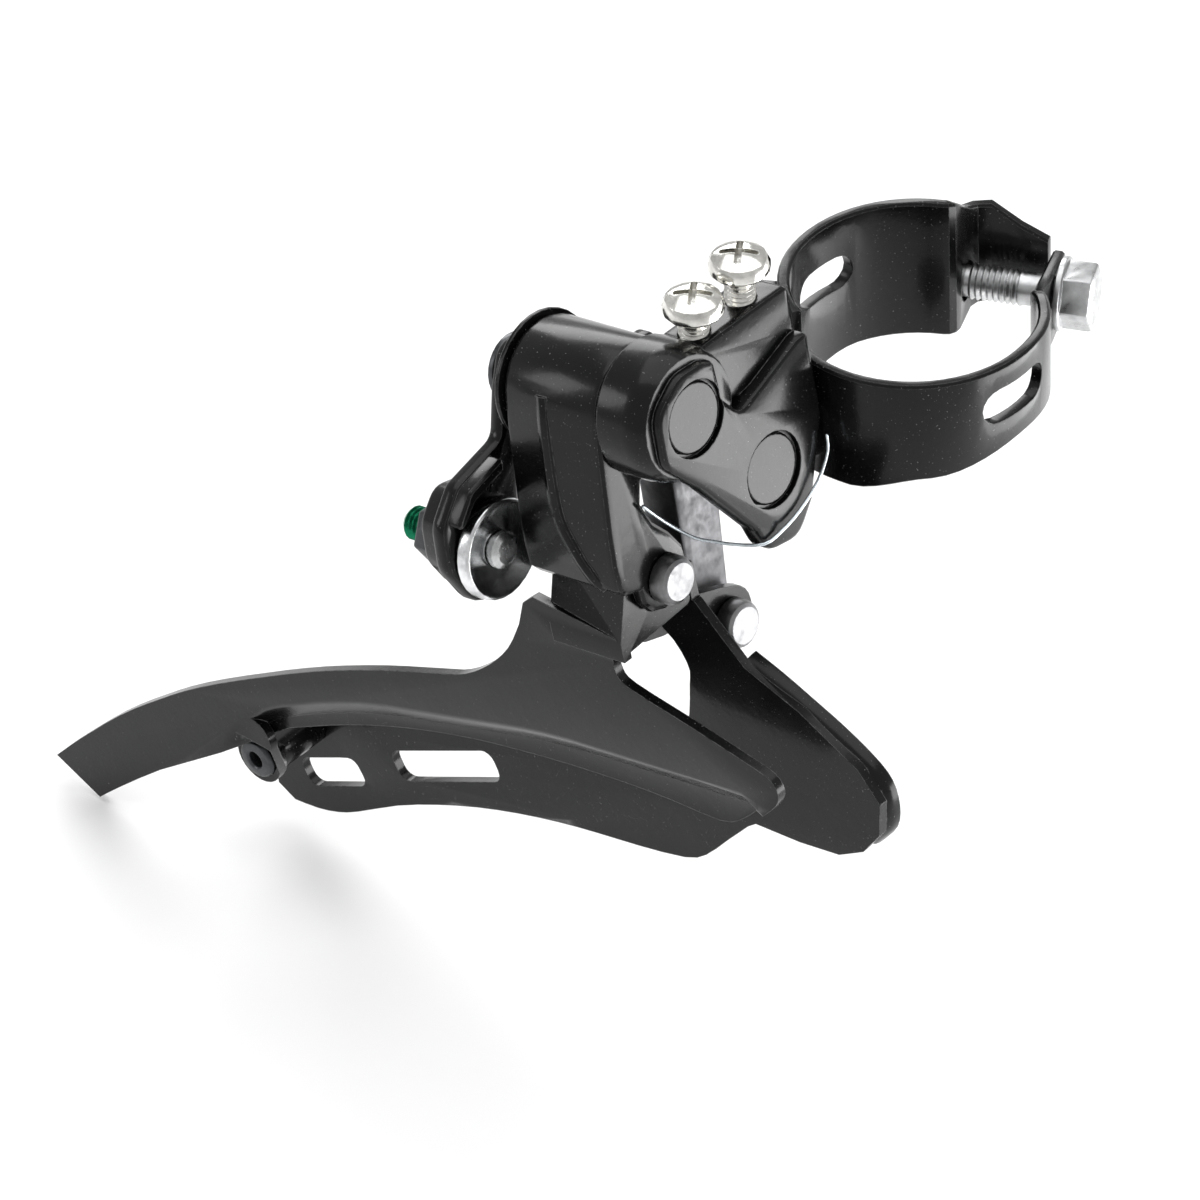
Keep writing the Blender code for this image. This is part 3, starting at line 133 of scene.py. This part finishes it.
class Nodes:
    """Small helper that adds shader nodes and wires them."""

    def __init__(self, name):
        self.mat = bpy.data.materials.new(name)
        self.mat.use_nodes = True
        self.tree = self.mat.node_tree
        self.bsdf = self.tree.nodes["Principled BSDF"]
        self.coord = self.add("ShaderNodeTexCoord").outputs["Object"]

    def add(self, kind, **values):
        node = self.tree.nodes.new(kind)
        for key, value in values.items():
            if hasattr(node, key):
                setattr(node, key, value)
            else:
                node.inputs[key.replace("_", " ")].default_value = value
        return node

    def link(self, a, b):
        self.tree.links.new(a, b)

    def noise(self, scale, detail=3.0, roughness=0.5, stretch=None):
        node = self.add("ShaderNodeTexNoise", Scale=scale, Detail=detail, Roughness=roughness)
        source = self.coord
        if stretch is not None:
            mapping = self.add("ShaderNodeMapping")
            mapping.inputs["Scale"].default_value = stretch
            self.link(source, mapping.inputs["Vector"])
            source = mapping.outputs["Vector"]
        self.link(source, node.inputs["Vector"])
        return node.outputs["Fac"]

    def ramp(self, fac, stops):
        node = self.add("ShaderNodeValToRGB")
        while len(node.color_ramp.elements) < len(stops):
            node.color_ramp.elements.new(0.5)
        for element, (at, value) in zip(node.color_ramp.elements, stops):
            element.position = at
            colour = value if isinstance(value, tuple) else (value, value, value)
            element.color = (*colour, 1.0)
        self.link(fac, node.inputs["Fac"])
        return node.outputs["Color"]

    def mix(self, fac, a, b, mode="MIX"):
        node = self.add("ShaderNodeMix")
        node.data_type = "RGBA"
        node.blend_type = mode
        for slot, value in ((0, fac), (6, a), (7, b)):
            socket = node.inputs[slot]
            if isinstance(value, (int, float)):
                socket.default_value = value if slot == 0 else (value, value, value, 1.0)
            elif isinstance(value, tuple):
                socket.default_value = (*value, 1.0)
            else:
                self.link(value, socket)
        return node.outputs[2]

    def bump(self, height, strength, distance, normal=None):
        node = self.add("ShaderNodeBump", Strength=strength, Distance=distance)
        self.link(height, node.inputs["Height"])
        if normal is not None:
            self.link(normal, node.inputs["Normal"])
        return node.outputs["Normal"]

    def edge(self, radius):
        """Rounded-edge normal and a mask that is bright where the surface turns sharply."""
        bevel = self.add("ShaderNodeBevel", Radius=radius)
        bevel.samples = 4
        geometry = self.add("ShaderNodeNewGeometry")
        dot = self.add("ShaderNodeVectorMath", operation="DOT_PRODUCT")
        self.link(bevel.outputs["Normal"], dot.inputs[0])
        self.link(geometry.outputs["Normal"], dot.inputs[1])
        return bevel.outputs["Normal"], self.ramp(dot.outputs["Value"], [(0.86, 1.0), (0.985, 0.0)])


def enamel(name):
    """Black stove enamel over pressed steel: orange peel, dust specks, and rubbed edges lightened
    partly as wear and partly as a painted highlight.
    """
    n = Nodes(name)
    normal, edge = n.edge(EDGE_RADIUS)
    dark = tuple(ENAMEL_TONE * k for k in (0.8, 0.8, 0.82))
    light = tuple(ENAMEL_TONE * k for k in (1.35, 1.35, 1.42))
    tone = n.ramp(n.noise(140.0, 3.0), [(0.35, dark), (0.7, light)])
    # lighter grey on sharp edges in noisy patches: partly rubbed wear, partly a painted highlight
    # along the rims
    wear_and_highlight_patches = n.ramp(n.noise(900.0, 4.0, 0.7), [(0.36, 0.15), (0.56, 1.0)])
    wear_and_highlight = n.mix(n.mix(1.0, edge, wear_and_highlight_patches, "MULTIPLY"), tone, ENAMEL_WEAR_AND_HIGHLIGHT)
    specks = n.ramp(n.noise(3900.0, 1.0, 0.2), [(0.742, 0.0), (0.785, DUST_AMOUNT)])
    n.link(n.mix(specks, wear_and_highlight, DUST), n.bsdf.inputs["Base Color"])
    gloss = [(0.3, ENAMEL_ROUGHNESS * 0.82), (0.7, ENAMEL_ROUGHNESS * 1.25)]
    n.link(n.ramp(n.noise(55.0, 4.0, 0.6), gloss), n.bsdf.inputs["Roughness"])
    peel = n.bump(n.noise(1500.0, 2.0, 0.4), 0.10, 0.10 * MM, normal)
    n.link(n.bump(n.noise(210.0, 2.0), 0.10, 0.35 * MM, peel), n.bsdf.inputs["Normal"])
    n.bsdf.inputs["Specular IOR Level"].default_value = 0.20
    n.bsdf.inputs["Coat Weight"].default_value = 0.08
    n.bsdf.inputs["Coat Roughness"].default_value = 0.08
    return n


def plated(name, colour, rough, grain_scale, grime=0.35, metallic=1.0, stretch=None):
    """Plated steel with fine handling marks, a cloudy gloss, random darker grime and lighter sharp
    edges.
    """
    n = Nodes(name)
    normal, edge = n.edge(METAL_EDGE_RADIUS)
    light = tuple(min(1.0, c * 1.12) for c in colour)
    dark = tuple(c * (1.0 - grime) for c in colour)
    tone = n.ramp(n.noise(420.0, 5.0, 0.62), [(0.28, dark), (0.62, colour), (0.85, light)])
    n.link(n.mix(n.mix(1.0, edge, 0.5, "MULTIPLY"), tone, light), n.bsdf.inputs["Base Color"])
    haze = [(0.3, rough * 0.75), (0.75, min(1.0, rough * 1.5))]
    n.link(n.ramp(n.noise(600.0, 5.0, 0.6), haze), n.bsdf.inputs["Roughness"])
    n.bsdf.inputs["Metallic"].default_value = metallic
    grain = n.bump(n.noise(grain_scale, 4.0, 0.6, stretch), 0.16, 0.06 * MM, normal)
    n.link(grain, n.bsdf.inputs["Normal"])
    return n


def green_tipped():
    """Bright zinc bolt whose rear threads carry green thread-lock."""
    n = plated("green_zinc", (0.62, 0.63, 0.63), 0.24, 1400.0)
    zinc = n.bsdf.inputs["Base Color"].links[0].from_socket
    depth = n.add("ShaderNodeVectorMath", operation="DOT_PRODUCT")
    depth.inputs[1].default_value = (-math.cos(TILT), 0.0, -math.sin(TILT))
    n.link(n.coord, depth.inputs[0])
    reach = n.add("ShaderNodeMapRange", From_Min=GREEN_FROM, From_Max=GREEN_FULL)
    n.link(depth.outputs["Value"], reach.inputs["Value"])
    n.link(n.mix(reach.outputs["Result"], zinc, GREEN), n.bsdf.inputs["Base Color"])
    return n


def build_materials():
    looks = {
        "black": enamel("black_enamel"),
        "zinc": plated("bright_zinc", (0.56, 0.565, 0.57), 0.31, 1500.0),
        "nickel": plated("bright_nickel", (0.80, 0.79, 0.75), 0.13, 1300.0, 0.45),
        "pin": plated("turned_steel", (0.24, 0.24, 0.245), 0.40, 1500.0, 0.45),
        "chrome": plated("dished_chrome", (0.84, 0.85, 0.86), 0.17, 900.0, 0.55),
        "grey": plated("grey_plate", (0.11, 0.11, 0.115), 0.45, 1600.0, 0.5, 0.9,
                       (1.0, 1.0, 0.15)),
        "dark": plated("dark_plate", (0.075, 0.078, 0.082), 0.30, 1200.0, 0.4, 0.85),
        "green": green_tipped(),
        "wire": plated("tie_wire", (0.62, 0.68, 0.72), 0.22, 2000.0),
        "spring": plated("spring_steel", (0.45, 0.45, 0.46), 0.3, 1400.0),
    }
    return {key: n.mat for key, n in looks.items()}


# ---------------------------------------------------------------- edges

def smoothing_group():
    """Node group that drops the imported normals and keeps only sharp edges sharp."""
    group = bpy.data.node_groups.new("smooth_faces", "GeometryNodeTree")
    group.interface.new_socket("Geometry", in_out="INPUT", socket_type="NodeSocketGeometry")
    group.interface.new_socket("Geometry", in_out="OUTPUT", socket_type="NodeSocketGeometry")
    start = group.nodes.new("NodeGroupInput")
    merge = group.nodes.new("GeometryNodeMergeByDistance")
    merge.inputs["Distance"].default_value = MERGE_DISTANCE
    normal = group.nodes.new("GeometryNodeSetMeshNormal")
    normal.mode = "SHARPNESS"
    normal.inputs["Remove Custom"].default_value = True
    angle = group.nodes.new("GeometryNodeInputMeshEdgeAngle")
    sharp = group.nodes.new("FunctionNodeCompare")
    sharp.operation = "GREATER_THAN"
    sharp.inputs[1].default_value = SHARP_ANGLE
    end = group.nodes.new("NodeGroupOutput")
    group.links.new(start.outputs[0], merge.inputs["Geometry"])
    group.links.new(merge.outputs["Geometry"], normal.inputs["Mesh"])
    group.links.new(angle.outputs["Unsigned Angle"], sharp.inputs[0])
    group.links.new(sharp.outputs["Result"], normal.inputs["Edge Sharpness"])
    group.links.new(normal.outputs["Mesh"], end.inputs[0])
    return group


def finish_node(node, look, group):
    """Gives a CAD node its finish and rounds its edges without touching its mesh."""
    obj = frame["nodes"][node]
    for slot in obj.material_slots:
        slot.link = "OBJECT"
        slot.material = look
    merge = obj.modifiers.new("merge", "WELD")
    merge.merge_threshold = MERGE_DISTANCE
    flat = obj.modifiers.new("flat_faces", "DECIMATE")
    flat.decimate_type = "DISSOLVE"
    flat.angle_limit = FLAT_ANGLE
    bevel = obj.modifiers.new("edge", "BEVEL")
    bevel.width = SOFT_EDGE.get(node, SMALL_EDGE) * MM
    bevel.segments = 3
    bevel.limit_method = "ANGLE"
    bevel.angle_limit = BEVEL_ANGLE
    smooth = obj.modifiers.new("smooth", "NODES")
    smooth.node_group = group


# ---------------------------------------------------------------- studio

def floor():
    bm = bmesh.new()
    bmesh.ops.create_grid(bm, x_segments=2, y_segments=2, size=FLOOR_HALF)
    mesh = bpy.data.meshes.new("floor")
    bm.to_mesh(mesh)
    bm.free()
    obj = bpy.data.objects.new("floor", mesh)
    obj.location = (0.0, 0.0, CAD_BOX[0].z - FLOOR_GAP)
    bpy.context.scene.collection.objects.link(obj)
    n = Nodes("pale_floor")
    n.link(n.ramp(n.noise(6.0, 2.0), [(0.3, 0.86), (0.7, 0.9)]), n.bsdf.inputs["Base Color"])
    n.bsdf.inputs["Roughness"].default_value = 0.8
    mesh.materials.append(n.mat)


def ambient():
    world = bpy.data.worlds.new("studio")
    world.use_nodes = True
    background = world.node_tree.nodes["Background"]
    background.inputs["Color"].default_value = (1.0, 1.0, 1.0, 1.0)
    background.inputs["Strength"].default_value = AMBIENT
    bpy.context.scene.world = world
    bpy.context.scene.view_settings.view_transform = "Standard"


def softbox(name, at, aim, size, power):
    data = bpy.data.lights.new(name, "AREA")
    data.shape = "RECTANGLE"
    data.size, data.size_y = size
    data.energy = power
    obj = bpy.data.objects.new(name, data)
    obj.location = at
    obj.rotation_mode = "QUATERNION"
    obj.rotation_quaternion = (Vector(aim) - Vector(at)).to_track_quat("-Z", "Y")
    obj.visible_camera = False
    bpy.context.scene.collection.objects.link(obj)


def camera():
    """Long lens high above the front on the outboard side."""
    data = bpy.data.cameras.new("view")
    data.sensor_width = VIEW_SENSOR
    data.lens = VIEW_LENS
    data.clip_start, data.clip_end = 0.05, 20.0
    obj = bpy.data.objects.new("view", data)
    right, up = Vector(VIEW_RIGHT), Vector(VIEW_UP)
    turn = Matrix((right, up, right.cross(up))).transposed().to_4x4()
    obj.matrix_world = Matrix.Translation(VIEW_FROM) @ turn
    bpy.context.scene.collection.objects.link(obj)
    bpy.context.scene.camera = obj


def main():
    looks = build_materials()
    group = smoothing_group()
    for node in sorted(frame["nodes"]):
        finish_node(node, looks[LOOK_OF.get(node, "black")], group)
    floor()
    ambient()
    camera()
    for name, place, aim, size, power in SOFTBOXES:
        softbox(name, place, aim, size, power)


main()
